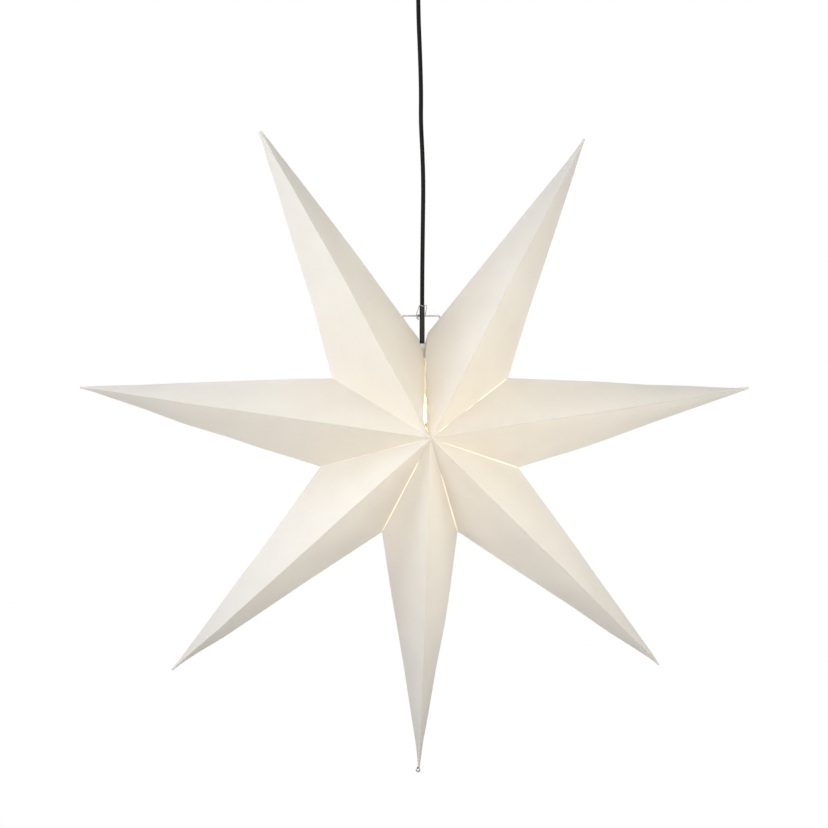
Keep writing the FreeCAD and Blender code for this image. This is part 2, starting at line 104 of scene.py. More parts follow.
# How far each point's left and right edge lie clockwise of straight, at places from the tip, in mm
EDGE_PLACES = (4, 18, 44, 88, 155, 221, 265, 350)
EDGE_SHIFTS = {
    "top_left": ((-3.2, -2.2, -2.9, -0.9, -0.6, 1.3, 2.0, 0),
                 (0.7, 1.5, 1.4, 2.2, 2.5, 2.4, 1.5, 0)),
    "top_right": ((0.0, 1.0, 1.6, 1.2, 0.4, 0.3, 0, 0),
                  (1.4, 1.3, 1.6, 1.5, 0.9, 0, -0.5, 0)),
    "right": ((-0.3, 1.6, 1.8, 1.2, 1.9, 0.2, 0, 0),
              (2.0, 2.0, 2.2, 2.2, 2.3, 3.5, 3.5, 0)),
    "low_right": ((0.4, -0.6, -0.7, -0.6, -0.6, -1.2, -0.9, 0),
                  (1.4, 0.5, 0.7, 1.5, -0.2, 0, 0.4, 0)),
    "bottom": ((-1.4, -0.9, -0.1, -1.0, -1.4, -3.5, -3.0, 0),
               (-0.8, -1.9, -2.9, -2.5, -2.4, -1.2, 0, 0)),
    "low_left": ((-1.0, 0, -0.1, -2.0, -1.2, 0, 0, 0),
                 (0.5, -0.4, -0.3, -0.7, -0.5, -1.8, -1.2, 0)),
    "left": ((0.2, 1.0, 0.5, 0.2, -2.5, -1.0, -1.5, 0),
             (1.8, 2.2, 1.9, 1.3, 1.7, 1.5, 1.5, 0)),
}

# Half-width in mm of the gap along each front valley, from the peak (0) to the corner (1)
GAPS = {
    57.3: [(0.0, 0.0), (0.1, 0.0), (0.13, 0.35), (0.18, 0.3), (0.22, 0.0), (0.43, 0.0),
           (0.46, 0.4), (0.53, 0.35), (0.56, 0.0), (0.6, 0.0), (0.63, 0.45), (0.8, 0.3),
           (0.95, 0.4), (1.0, 0.05)],
    108.8: [(0.0, 0.0), (0.1, 0.0), (0.2, 0.2), (0.45, 0.3), (0.6, 0.25), (0.75, 0.4), (1.0, 0.3)],
    158.9: [(0.0, 0.0), (0.38, 0.0), (0.42, 0.35), (0.6, 0.35), (0.68, 0.15), (0.78, 0.45),
            (1.0, 0.3)],
    201.7: [(0.0, 0.0), (0.24, 0.0), (0.28, 0.45), (0.45, 0.3), (0.6, 0.4), (0.85, 0.4),
            (1.0, 0.2)],
    252.6: [(0.0, 0.0), (0.2, 0.12), (0.5, 0.06), (0.8, 0.1), (1.0, 0.0)],
    302.7: [(0.0, 0.0), (1.0, 0.0)],
}
BACK_GAP_SHARE = 0.7

# Painted light: a strip behind those gaps that glows by its own emission in place of the lamp's
# light through them: where it starts and ends, its depth and half-width in mm
PAINTED_GLOW_FROM = 0.06
PAINTED_GLOW_TO = 0.985
PAINTED_GLOW_STEPS = 40
PAINTED_GLOW_DEPTH = 0.45
PAINTED_GLOW_HALF = 1.1

# The open seam's two paper edges, in mm from the star's centre: (x, height), peak to corner;
# the higher the fade, the nearer to the edge a panel starts to follow it
SEAM_EDGES = {
    SEAM_LEFT: [(0.0, 0.0), (-4.4, 6.7), (-7.3, 10.3), (-8.5, 14.4), (-8.3, 19.9), (-6.3, 36.4),
                (-4.0, 53.0), (-1.7, 67.0), (3.0, 104.2), (3.2, 108.6), (2.2, 117.4),
                (0.9, 126.1), (-1.7, 135.7), (-3.2, 142.4)],
    SEAM_RIGHT: [(0.0, 0.0), (-2.4, 7.1), (-3.3, 15.3), (-2.9, 22.2), (-1.6, 36.1), (-0.1, 52.9),
                 (0.0, 67.0), (3.4, 104.3), (4.0, 113.0), (5.2, 121.7), (8.3, 134.9),
                 (9.6, 142.3), (11.0, 149.7)],
}
SEAM_FADE = 5.0

# Round curves: order, steps between control points, and roundness of the section
CURVE_ORDER = 3
WIRE_STEPS = 12
CORD_LINE_STEPS = 48
WIRE_ROUNDNESS = 6

# The cord's route and size in mm, as in its solid
CORD_ROUTE = [
    (0.0, 0.0, -36.0), (0.0, 0.0, -115.0), (3.1, 0.9, -183.0), (4.6, 0.2, -240.0),
    (3.9, -1.2, -280.0), (6.1, -1.5, -322.0), (7.9, -0.4, -371.0), (7.2, 0.9, -432.0),
    (6.0, 0.0, -525.0), (6.0, 0.0, -624.0),
]
CORD_RADIUS = 3.2

# Its braid: facets round it, step along it, strands, their pitch and height in mm, and fullness
CORD_SIDES = 40
BRAID_STEP = 0.9
BRAID_STRANDS = 16
BRAID_PITCH = 15.0
BRAID_HEIGHT = 0.1
STRAND_FULLNESS = 1.6

# The wire loop that ties the hanger to the cord, in mm from the lamp's axis and the star's centre:
# the ring round the cord, the wire's two ends, and the turns (in radians) that wind the left one
LOOP_WIRE = 0.55
LOOP_RING = 4.4
LOOP_RING_UP = 189.5
LOOP_RING_WAVE = 0.5
LOOP_RING_POINTS = 14
LOOP_LEFT = [(-4.4, 0.2, 190.2), (-5.2, 1.0, 186.4), (-6.6, 3.2, 181.6), (-7.4, 6.6, 178.0),
             (-7.6, 7.4, 175.2), (-7.4, 5.8, 173.0), (-7.2, 3.9, 174.4), (-7.0, 4.0, 176.6)]
LOOP_RIGHT = [(4.2, 0.4, 190.4), (5.9, 0.6, 191.0), (6.9, 0.9, 189.4), (6.5, 2.2, 184.8),
              (5.9, 4.4, 180.0), (5.7, 7.2, 177.0), (5.6, 7.0, 174.2), (5.6, 4.8, 173.6)]
TWIST_CENTRE = (-6.1, 4.4, 177.0)
TWIST_RADII = (1.6, 1.2)
TWIST_DROP = 0.55
TWIST_STEP = 0.9
TWIST_POINTS = 17

# Mottled finishes: where the noise reaches its two colours, how much finer the grain is, and
# how bright steel's darker grey is beside its lighter one
MOTTLE_STOPS = (0.3, 0.7)
GRAIN_SCALE = 9
STEEL_SHADE = 0.75

# The material of every solid that stays in view
NODE_SLOTS = {
    "star_tip_ball": "ball_chrome",
    "hanger_wire": "wire_steel",
    "cord_sleeve": "sleeve_rubber",
    "lampholder_nut": "lamp_plastic",
    "lampholder_cap": "lamp_plastic",
    "lampholder_skirt": "lamp_plastic",
    "lampholder_insert": "insert_ceramic",
    "lampholder_socket": "brass",
    "lampholder_contact": "brass",
    "contact_screws": "brass",
    "lamp_leads": "lead_brown",
    "bulb_glass": "bulb_glass",
    "bulb_cap": "bulb_steel",
    "bulb_insulator": "bulb_black",
    "bulb_contact": "bulb_steel",
    "bulb_stem": "bulb_glass",
    "bulb_filaments": "filament",
    "ceiling_strap": "strap_steel",
    "cord_clamp": "block_plastic",
    "clamp_screws": "wire_steel",
    "terminal_block": "block_plastic",
    "terminal_screws": "brass",
    "live_lead": "lead_brown",
    "neutral_lead": "lead_blue",
    "ceiling_cup": "cup_black",
    "cup_gland": "cup_black",
    "grip_screw": "wire_steel",
}

# Camera, fitted to the photograph: picture and shift in pixels, sensor in mm, distances in metres,
# angles in degrees from the star's front
IMAGE = 828.0
FOCAL_PIXELS = 2035.8
SENSOR = 36.0
CAMERA_DISTANCE = 3.0
CAMERA_AZIMUTH = -6.45
CAMERA_ELEVATION = 2.24
CAMERA_REACH = 60.0
SHIFT_PIXELS = (6.4, 20.7)

# Light from all around, and soft round lamps that face the star: name, distance in metres,
# azimuth and elevation in degrees from its front, diameter in metres, power in watts, colour
WORLD_STRENGTH = 0.275
WORLD_COLOUR = (1.0, 0.92, 0.83)
STUDIO_LIGHTS = [
    ("key_left", 1.8, -80, 20, 1.0, 11.4, (0.9, 0.95, 1.0)),
    ("key_front", 3.0, -40, 0, 1.6, 31.0, (1.0, 0.95, 0.89)),
    ("front_near", 1.0, 20, 0, 0.7, 4.1, (1.0, 0.94, 0.8)),
    ("front_low", 1.0, 60, -20, 0.7, 0.75, (1.0, 0.86, 0.68)),
    ("top", 3.0, 20, 60, 1.6, 13.5, (1.0, 0.99, 0.94)),
    ("top_left", 1.8, -50, 60, 1.0, 2.0, (0.75, 0.85, 1.0)),
    ("fill_right", 1.8, 60, 10, 1.0, 6.0, (0.98, 1.0, 0.97)),
    ("back", 3.0, 180, 8, 1.6, 11.0, (1.0, 0.97, 0.93)),
    ("back_side", 2.0, -158, 8, 1.0, 6.0, (1.0, 0.98, 0.95)),
]

# The lit bulb: height in mm above the star's centre, power in watts, colour, radius in metres
BULB_ABOVE = 32.0
BULB_CENTRE = CENTRE + Vector((LAMP_X - STAR_X, 0.0, BULB_ABOVE)) * MM
BULB_POWER = 1.2
BULB_COLOUR = (1.0, 0.8, 0.56)
BULB_SIZE = 0.018

# Stage in metres: a floor that bends up into a back wall
STAGE_WHITE = (1.0, 1.0, 1.0, 1.0)
STAGE_FRONT = -5.0
STAGE_BACK = 8.0
STAGE_FLOOR = -2.3
STAGE_TOP = 5.0
STAGE_BEND = 1.2
STAGE_BEND_STEPS = 12
STAGE_HALF_WIDTH = 6.0


# Node helpers


def new_material(name):
    """Empty node material and its output; what glows isn't sampled as a lamp, for less grain."""
    material = bpy.data.materials.new(name)
    material.use_nodes = True
    material.cycles.emission_sampling = "NONE"
    nodes, links = material.node_tree.nodes, material.node_tree.links
    nodes.clear()
    return material, nodes, links, nodes.new("ShaderNodeOutputMaterial")


def object_coords(nodes):
    return nodes.new("ShaderNodeTexCoord").outputs["Object"]


def noise_at(nodes, links, coords, scale, detail=4.0, rough=0.55):
    texture = nodes.new("ShaderNodeTexNoise")
    texture.inputs["Scale"].default_value = scale
    texture.inputs["Detail"].default_value = detail
    texture.inputs["Roughness"].default_value = rough
    links.new(coords, texture.inputs["Vector"])
    return texture.outputs["Fac"]


def ramp(nodes, links, value, stops):
    """Colour ramp with the given (position, colour) stops."""
    node = nodes.new("ShaderNodeValToRGB")
    elements = node.color_ramp.elements
    while len(elements) < len(stops):
        elements.new(0.5)
    for element, (position, colour) in zip(elements, stops):
        element.position = position
        element.color = (*colour, 1.0)
    links.new(value, node.inputs["Fac"])
    return node.outputs["Color"]


def bump(nodes, links, height, distance, base=None):
    node = nodes.new("ShaderNodeBump")
    node.inputs["Distance"].default_value = distance
    node.inputs["Strength"].default_value = 1.0
    links.new(height, node.inputs["Height"])
    if base is not None:
        links.new(base, node.inputs["Normal"])
    return node.outputs["Normal"]


def principled(nodes, roughness, metallic=0.0):
    shader = nodes.new("ShaderNodeBsdfPrincipled")
    shader.inputs["Roughness"].default_value = roughness
    shader.inputs["Metallic"].default_value = metallic
    return shader


def mixed(nodes, links, first, second):
    """Mix shader of two shader outputs; its factor is left to the caller."""
    mix = nodes.new("ShaderNodeMixShader")
    links.new(first, mix.inputs[1])
    links.new(second, mix.inputs[2])
    return mix


def plain_finish(name, colours, scale, roughness, metallic=0.0, grain=0.00004, coat=0.0):
    """Moulded or metal finish: mottled between two colours, a fine grain, constant gloss."""
    material, nodes, links, output = new_material(name)
    coords = object_coords(nodes)
    shader = principled(nodes, roughness, metallic)
    shader.inputs["Coat Weight"].default_value = coat
    mottle = noise_at(nodes, links, coords, scale)
    links.new(ramp(nodes, links, mottle, list(zip(MOTTLE_STOPS, colours))),
              shader.inputs["Base Color"])
    fine = noise_at(nodes, links, coords, scale * GRAIN_SCALE)
    links.new(bump(nodes, links, fine, grain), shader.inputs["Normal"])
    links.new(shader.outputs["BSDF"], output.inputs["Surface"])
    return material


# Materials


def paper_material():
    """Thick white paper: fibre grain, soft mottling, and painted shade that changes from the centre
    out: darker and warmer near the centre, darker towards the tips.
    """
    material, nodes, links, output = new_material("star_paper")
    coords = object_coords(nodes)
    mottle = ramp(nodes, links, noise_at(nodes, links, coords, scale=14.0, detail=3.0),
                  [(0.3, (0.83, 0.815, 0.79)), (0.7, (0.865, 0.855, 0.835))])
    shader = principled(nodes, roughness=0.72)
    shader.inputs["Specular IOR Level"].default_value = 0.25
    shader.inputs["Sheen Weight"].default_value = 0.05
    # Painted shade: the paper's colour is multiplied darker and warmer near the centre and darker
    # towards the tips
    from_centre = nodes.new("ShaderNodeVectorMath")
    from_centre.operation = "DISTANCE"
    from_centre.inputs[1].default_value = CENTRE + Vector(PAINTED_SHADE_SHIFT) * MM
    links.new(coords, from_centre.inputs[0])
    painted_shade = ramp(nodes, links, from_centre.outputs["Value"], PAPER_PAINTED_SHADE)
    shade_painted_colour = nodes.new("ShaderNodeVectorMath")
    shade_painted_colour.operation = "MULTIPLY"
    links.new(mottle, shade_painted_colour.inputs[0])
    links.new(painted_shade, shade_painted_colour.inputs[1])
    links.new(shade_painted_colour.outputs["Vector"], shader.inputs["Base Color"])
    fibre = noise_at(nodes, links, coords, scale=520.0, detail=5.0, rough=0.65)
    cloud = noise_at(nodes, links, coords, scale=42.0, detail=3.0)
    normal = bump(nodes, links, fibre, distance=0.00016)
    normal = bump(nodes, links, cloud, distance=0.0006, base=normal)
    links.new(normal, shader.inputs["Normal"])
    through = nodes.new("ShaderNodeBsdfTranslucent")
    through.inputs["Color"].default_value = (0.9, 0.74, 0.52, 1.0)
    mix = mixed(nodes, links, shader.outputs["BSDF"], through.outputs["BSDF"])
    mix.inputs["Fac"].default_value = 0.03
    links.new(mix.outputs["Shader"], output.inputs["Surface"])
    return material


def glowing_material(name, roughness, strength, scale, stops):
    """Surface that glows in its own mottled colour."""
    material, nodes, links, output = new_material(name)
    shader = principled(nodes, roughness)
    shader.inputs["Emission Strength"].default_value = strength
    glow = ramp(nodes, links, noise_at(nodes, links, object_coords(nodes), scale), stops)
    links.new(glow, shader.inputs["Base Color"])
    links.new(glow, shader.inputs["Emission Color"])
    links.new(shader.outputs["BSDF"], output.inputs["Surface"])
    return material


def textile_material():
    """Black braided cord: the strands are in the mesh, the threads in the bump."""
    material, nodes, links, output = new_material("cord_textile")
    coords = object_coords(nodes)
    shader = principled(nodes, roughness=0.6)
    shader.inputs["Specular IOR Level"].default_value = 0.2
    shader.inputs["Sheen Weight"].default_value = 0.02
    links.new(ramp(nodes, links, noise_at(nodes, links, coords, scale=700.0),
                   [(0.3, (0.002, 0.002, 0.002)), (0.75, (0.007, 0.007, 0.007))]),
              shader.inputs["Base Color"])
    threads = noise_at(nodes, links, coords, scale=2600.0)
    links.new(bump(nodes, links, threads, distance=0.00012), shader.inputs["Normal"])
    links.new(shader.outputs["BSDF"], output.inputs["Surface"])
    return material


def glass_material():
    """Clear thin bulb glass that lets the filaments' light straight through."""
    material, nodes, links, output = new_material("bulb_glass")
    clear = nodes.new("ShaderNodeBsdfTransparent")
    clear.inputs["Color"].default_value = (0.97, 0.96, 0.93, 1.0)
    gloss = nodes.new("ShaderNodeBsdfGlossy")
    gloss.inputs["Roughness"].default_value = 0.03
    ripple = noise_at(nodes, links, object_coords(nodes), scale=60.0)
    links.new(bump(nodes, links, ripple, distance=0.0002), gloss.inputs["Normal"])
    edge = nodes.new("ShaderNodeLayerWeight")
    edge.inputs["Blend"].default_value = 0.12
    mix = mixed(nodes, links, clear.outputs["BSDF"], gloss.outputs["BSDF"])
    links.new(edge.outputs["Facing"], mix.inputs["Fac"])
    links.new(mix.outputs["Shader"], output.inputs["Surface"])
    return material


def stage_material():
    """Plain white surface: evenly white to the camera, see-through from behind or below."""
    material, nodes, links, output = new_material("studio_white")
    matt = nodes.new("ShaderNodeBsdfDiffuse")
    matt.inputs["Color"].default_value = (0.8, 0.8, 0.8, 1.0)
    even = nodes.new("ShaderNodeEmission")
    even.inputs["Color"].default_value = STAGE_WHITE
    white = mixed(nodes, links, matt.outputs["BSDF"], even.outputs["Emission"])
    path = nodes.new("ShaderNodeLightPath")
    links.new(path.outputs["Is Camera Ray"], white.inputs["Fac"])
    clear = nodes.new("ShaderNodeBsdfTransparent")
    one_sided = mixed(nodes, links, white.outputs["Shader"], clear.outputs["BSDF"])
    geometry = nodes.new("ShaderNodeNewGeometry")
    links.new(geometry.outputs["Backfacing"], one_sided.inputs["Fac"])
    links.new(one_sided.outputs["Shader"], output.inputs["Surface"])
    return material


def steel(base, scale):
    """Look of drawn wire and bent strip: fine mottling of lighter and darker grey."""
    shade = tuple(STEEL_SHADE * c for c in base)
    return dict(colours=(shade, base), scale=scale, roughness=0.32, metallic=1.0, grain=0.00002)


def make_materials():
    white = ((0.72, 0.71, 0.69), (0.8, 0.79, 0.77))
    black = ((0.012, 0.012, 0.013), (0.022, 0.022, 0.023))
    rubber = ((0.003, 0.003, 0.003), (0.008, 0.008, 0.008))
    chrome = ((0.6, 0.6, 0.61), (0.72, 0.72, 0.73))
    brass = ((0.55, 0.38, 0.14), (0.72, 0.52, 0.22))
    brown = ((0.1, 0.035, 0.015), (0.14, 0.05, 0.02))
    blue = ((0.01, 0.05, 0.25), (0.02, 0.08, 0.33))
    finishes = {
        "ball_chrome": dict(colours=chrome, scale=900.0, roughness=0.12, metallic=1.0,
                            grain=0.00001),
        "wire_steel": steel((0.62, 0.61, 0.6), 1800.0),
        "bulb_steel": steel((0.66, 0.65, 0.63), 700.0),
        "strap_steel": steel((0.6, 0.61, 0.62), 220.0),
        "brass": dict(colours=brass, scale=500.0, roughness=0.28, metallic=1.0, grain=0.00002),
        "sleeve_rubber": dict(colours=rubber, scale=400.0, roughness=0.65),
        "bulb_black": dict(colours=black, scale=400.0, roughness=0.25),
        "cup_black": dict(colours=black, scale=160.0, roughness=0.42, grain=0.00006, coat=0.1),
        "lamp_plastic": dict(colours=white, scale=120.0, roughness=0.38),
        "insert_ceramic": dict(colours=white, scale=90.0, roughness=0.2, coat=0.3),
        "block_plastic": dict(colours=white, scale=150.0, roughness=0.45),
        "lead_brown": dict(colours=brown, scale=300.0, roughness=0.4),
        "lead_blue": dict(colours=blue, scale=300.0, roughness=0.4),
    }
    materials = {
        "star_paper": paper_material(),
        # The glue-flap strip glows by itself: painted light in place of the lamp's light through
        # the gaps
        "painted_glow_flap": glowing_material("painted_glow_flap", roughness=0.7, strength=1.0, scale=45.0,
                                     stops=[(0.3, (0.95, 0.82, 0.58)), (0.65, (1.0, 0.93, 0.74))]),
        "cord_textile": textile_material(),
        "bulb_glass": glass_material(),
        "filament": glowing_material("filament", roughness=0.4, strength=6.0, scale=300.0,
                                     stops=[(0.2, (1.0, 0.55, 0.2)), (0.8, (1.0, 0.78, 0.42))]),
    }
    for name, look in finishes.items():
        materials[name] = plain_finish(name, **look)
    return materials


# Scene and mesh helpers


def show(thing):
    """Puts an object in the scene."""
    bpy.context.scene.collection.objects.link(thing)


def add_piece(name, data, material, body):
    """Object of a mesh or curve, with its material, on the body that it moves with."""
    piece = bpy.data.objects.new(name, data)
    show(piece)
    piece.data.materials.append(material)
    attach(piece, body)
    return piece


def mesh_from(bm, name):
    mesh = bpy.data.meshes.new(name)
    bm.to_mesh(mesh)
    bm.free()
    return mesh


def outward(angle):
    """Direction of an angle in the star's plane."""
    turn = math.radians(angle)
    return Vector((math.sin(turn), 0.0, math.cos(turn)))


def sideways(angle):
    """Direction in the star's plane a quarter turn clockwise from outward."""
    out = outward(angle)
    return Vector((out.z, 0.0, -out.x))


def depth_sign(front):
    """Which way along Y the front or the back of the star faces."""
    return -1.0 if front else 1.0


def along(table, at):
    """Value at a place in a table of (place, value) pairs, on straight lines between them."""
    for (a, va), (b, vb) in zip(table, table[1:]):
        if at <= b:
            return va + (vb - va) * (at - a) / (b - a)
    return table[-1][1]


# The folded paper points


def seam_x(edge, height):
    """Sideways place of a seam edge at a height over the star's centre."""
    return along([(up, x) for x, up in edge], max(0.0, min(height, edge[-1][1])))


def corner_point(corner):
    return outward(corner[0]) * corner[1]


def valley_edge(corner, side, front, share):
    """Point on a panel's inner edge, in mm from the star's centre, from peak (0) to corner (1)."""
    angle, radius = corner
    point = outward(angle) * radius * share
    point.y = depth_sign(front) * HALF_DEPTH * (1.0 - share)
    if corner in SEAM_EDGES:
        point.x = seam_x(SEAM_EDGES[corner], point.z)
        return point
    gap = along(GAPS[angle], share) * (1.0 if front else BACK_GAP_SHARE)
    return point + sideways(angle) * (side * gap)


def valley_inward(angle, front):
    """Into the star, square to the valley's line, in the valley's plane."""
    facing = depth_sign(front)
    edge = (outward(angle) * VALLEY_RADIUS - Vector((0.0, facing * HALF_DEPTH, 0.0))).normalized()
    inward = edge.cross(sideways(angle)).normalized()
    return inward if inward.dot(Vector((0.0, -facing, 0.0)) - outward(angle)) > 0 else -inward


def flap_direction(corner, side, front):
    """Into the star along the valley plane, leaning a little to the panel's own side."""
    across = sideways(corner[0])
    return (valley_inward(corner[0], front) + across * (side * FLAP_LEAN)).normalized()


def unevenness(place, seed):
    """Slow waves of the sheet, in mm, the same on every run."""
    return WAVE * noise.noise(place * WAVE_SCALE + Vector((seed, WAVE_SEED_SLOPE * seed, 0.0)))


def panel_normal(tip, peak, corner, front):
    normal = (peak - tip).cross(corner_point(corner) - tip).normalized()
    return normal if (normal.y < 0) == front else -normal


def column_places():
    """Shares from the ridge (0) to the outer edge (1) at which a panel has its columns."""
    regular = [k / PANEL_COLUMNS for k in range(1, PANEL_COLUMNS + 1)]
    return list(FOLD_COLUMNS) + [v - COLUMN_CROWDING * math.sin(math.tau * v) / math.tau
                                 for v in regular]


class Panel:
    """One of a point's four faces: a triangle from tip to peak to valley corner."""

    def __init__(self, name, side, front):
        self.angle, left, right = POINTS[name]
        self.side, self.front = side, front
        self.corner = left if side > 0 else right
        other = right if side > 0 else left
        self.out, self.across = outward(self.angle), sideways(self.angle)
        self.facing = depth_sign(front)
        self.tip = self.out * POINT_RADIUS
        self.peak = self.out * PEAK_HOLE + Vector((0.0, self.facing * HALF_DEPTH, 0.0))
        self.normal = panel_normal(self.tip, self.peak, self.corner, front)
        mate = panel_normal(self.tip, self.peak, other, front)
        self.ridge_normal = (self.normal + mate).normalized()
        by_angle, by_side, by_front = WAVE_SEEDS
        self.seed = self.angle * by_angle + side * by_side + (by_front if front else 0.0)
        self.shifts = [list(zip(EDGE_PLACES, edge)) for edge in EDGE_SHIFTS[name]]
        self.blunt = TIP_WIDTHS.get(name, TIP_HALF_WIDTH)

    def on_plane(self, place):
        """The place moved in depth onto the panel's own plane."""
        off = place - self.peak
        return Vector((place.x, place.y - self.normal.dot(off) / self.normal.y, place.z))

    def point(self, row, v):
        """Point of the panel, in mm from the star's centre: row from the tip, v from the ridge."""
        u = (row / PANEL_ROWS) ** ROW_SPREAD
        inner = self.peak.lerp(corner_point(self.corner), v)
        edge = valley_edge(self.corner, self.side, self.front, v)
        if self.corner in SEAM_EDGES:
            edge = self.on_plane(edge)
        place = self.tip + (inner - self.tip) * u + (edge - inner) * u ** SEAM_FADE
        window = math.sin(math.pi * v) * math.sin(math.pi * u)
        place += self.normal * (window * (BULGE + unevenness(place, self.seed)))
        from_ridge = (corner_point(self.corner) - self.peak).length * u * v
        bead = math.exp(-((from_ridge / FOLD_BEAD_WIDTH) ** 2))
        place += self.ridge_normal * (FOLD_BEAD * bead * min(1.0, FOLD_BEAD_GROWTH * u))
        return self.blunted(place, u, v)

    def shift(self, distance, v):
        """How far the paper lies clockwise of straight at a distance from the tip."""
        left, right = (along(table, distance) for table in self.shifts)
        own = left if self.side > 0 else right
        return (left + right) / 2 * (1.0 - v) + own * v

    def blunted(self, place, u, v):
        """The tip isn't a needle: folded paper keeps a little width and depth, and bends."""
        sideways_shift = self.shift(POINT_RADIUS - place.dot(self.out), v)
        lateral = corner_point(self.corner).dot(self.across)
        half_width = u * abs(lateral)
        half_depth = u * HALF_DEPTH
        wider = math.hypot(half_width, self.blunt) - half_width
        deeper = math.hypot(half_depth, TIP_HALF_DEPTH) - half_depth
        place += self.across * (math.copysign(wider, lateral) * v)
        place.y += self.facing * deeper * (1.0 - v)
        return place + self.across * sideways_shift

    def build(self, bm):
        """Grid of the panel, and its glue flap behind the inner edge."""
        columns = column_places()
        rows = [[bm.verts.new(self.point(row, v) * MM + CENTRE) for v in columns]
                for row in range(PANEL_ROWS + 1)]
        end = self.tip + self.out * TIP_ROUNDING + self.across * self.shift(0.0, 0.0)
        apex = bm.verts.new(end * MM + CENTRE)
        for a, b in zip(rows[0], rows[0][1:]):
            bm.faces.new((apex, a, b))
        for upper, lower in zip(rows, rows[1:]):
            for c in range(len(columns) - 1):
                bm.faces.new((upper[c], lower[c], lower[c + 1], upper[c + 1]))
        inner = rows[-1]
        inward = flap_direction(self.corner, self.side, self.front)
        flap = []
        for v, vertex in zip(columns, inner):
            reach = FLAP_WIDTH * min(1.0, FLAP_TAPER * v, FLAP_TAPER * (1 - v) + FLAP_CORNER)
            flap.append(bm.verts.new(vertex.co + inward * reach * MM))
        for c in range(len(columns) - 1):
            bm.faces.new((inner[c], flap[c], flap[c + 1], inner[c + 1]))


def build_painted_glow_flap(bm, angle, front):
    """Strip of glue flap that shows in the gaps of one valley; it glows by its own emission,
    painted light in place of the lamp's light.
    """
    inward, across = valley_inward(angle, front), sideways(angle)
    rows = []
    for step in range(PAINTED_GLOW_STEPS + 1):
        share = PAINTED_GLOW_FROM + (PAINTED_GLOW_TO - PAINTED_GLOW_FROM) * step / PAINTED_GLOW_STEPS
        place = outward(angle) * (VALLEY_RADIUS * share)
        place.y = depth_sign(front) * HALF_DEPTH * (1.0 - share)
        place += inward * PAINTED_GLOW_DEPTH
        rows.append([bm.verts.new((place + across * (k * PAINTED_GLOW_HALF)) * MM + CENTRE)
                     for k in (-1.0, 0.0, 1.0)])
    for a, b in zip(rows, rows[1:]):
        for c in range(2):
            bm.faces.new((a[c], b[c], b[c + 1], a[c + 1])).material_index = 1


def star_point_piece(name, material, painted_glow_material):
    """One point: its four panels, and the glowing strips of painted light in the valley on its
    left.
    """
    angle, left, _ = POINTS[name]
    bm = bmesh.new()
    for front in (True, False):
        for side in (1.0, -1.0):
            Panel(name, side, front).build(bm)
    bmesh.ops.remove_doubles(bm, verts=bm.verts, dist=WELD_DISTANCE)
    bmesh.ops.recalc_face_normals(bm, faces=bm.faces)
    if left[0] in GAPS:
        for front in (True, False):
            build_painted_glow_flap(bm, left[0], front)
    mesh = mesh_from(bm, f"paper_{name}")
    mesh.shade_smooth()
    mesh.set_sharp_from_angle(angle=math.radians(CREASE_ANGLE))
    body = "star" if name == "bottom" else f"{name}_point"
    piece = add_piece(f"paper_{name}", mesh, material, body)
    piece.data.materials.append(painted_glow_material)
    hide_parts(f"star_point_{name}")
    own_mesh(piece)


# The cord and the wires


def nurbs_curve(name, points, radius, steps):
    """NURBS curve through its control points, as a round tube when it has a radius."""
    curve = bpy.data.curves.new(name, "CURVE")
    curve.dimensions = "3D"
    curve.resolution_u = steps
    spline = curve.splines.new("NURBS")
    spline.points.add(len(points) - 1)
    for control, place in zip(spline.points, points):
        control.co = (*[c * MM for c in place], 1.0)
    spline.order_u = CURVE_ORDER
    spline.use_endpoint_u = True
    curve.bevel_depth = radius * MM
    curve.bevel_resolution = WIRE_ROUNDNESS
    curve.use_fill_caps = True
    return curve


def route_points():
    """Points along the cord's NURBS line, in metres."""
    curve = nurbs_curve("cord_line", CORD_ROUTE, 0.0, CORD_LINE_STEPS)
    line = bpy.data.objects.new("cord_line", curve)
    show(line)
    bpy.context.view_layer.update()
    evaluated = line.evaluated_get(bpy.context.evaluated_depsgraph_get())
    mesh = bpy.data.meshes.new_from_object(evaluated)
    points = [v.co.copy() for v in mesh.vertices]
    bpy.data.objects.remove(line)
    bpy.data.meshes.remove(mesh)
    return points


def evenly(points, step):
    """The same line with points a step apart."""
    result = [points[0]]
    left = step
    for a, b in zip(points, points[1:]):
        length = (b - a).length
        while length and left <= length:
            result.append(a.lerp(b, left / length))
            left += step
        left -= length
    return result + [points[-1]]


def strand_height(turn, at):
    """Height 0 to 1 of a plain braid: strands of both hands pass over each other in turn."""
    phase = math.tau * at / BRAID_PITCH
    one = math.sin(BRAID_STRANDS / 4 * (turn + phase))
    two = math.sin(BRAID_STRANDS / 4 * (turn - phase))
    return min(1.0, abs(one * two) * STRAND_FULLNESS)


def braided_tube(bm, path, radius):
    """Tube round the path whose surface rises and falls as two crossing sets of strands."""
    rings = []
    travelled = 0.0
    for i, place in enumerate(path):
        before, after = path[max(0, i - 1)], path[min(len(path) - 1, i + 1)]
        travelled += (place - before).length
        tangent = (after - before).normalized()
        side = tangent.cross(Vector((0.0, 1.0, 0.0))).normalized()
        other = tangent.cross(side)
        ring = []
        for k in range(CORD_SIDES):
            turn = math.tau * k / CORD_SIDES
            lift = strand_height(turn, travelled / MM)
            ring.append(bm.verts.new(place + (side * math.cos(turn) + other * math.sin(turn))
                                     * (radius - BRAID_HEIGHT * MM * (1 - lift))))
        rings.append(ring)
    for a, b in zip(rings, rings[1:]):
        for k in range(CORD_SIDES):
            n = (k + 1) % CORD_SIDES
            bm.faces.new((a[k], a[n], b[n], b[k]))
    bm.faces.new(reversed(rings[0]))
    bm.faces.new(rings[-1])


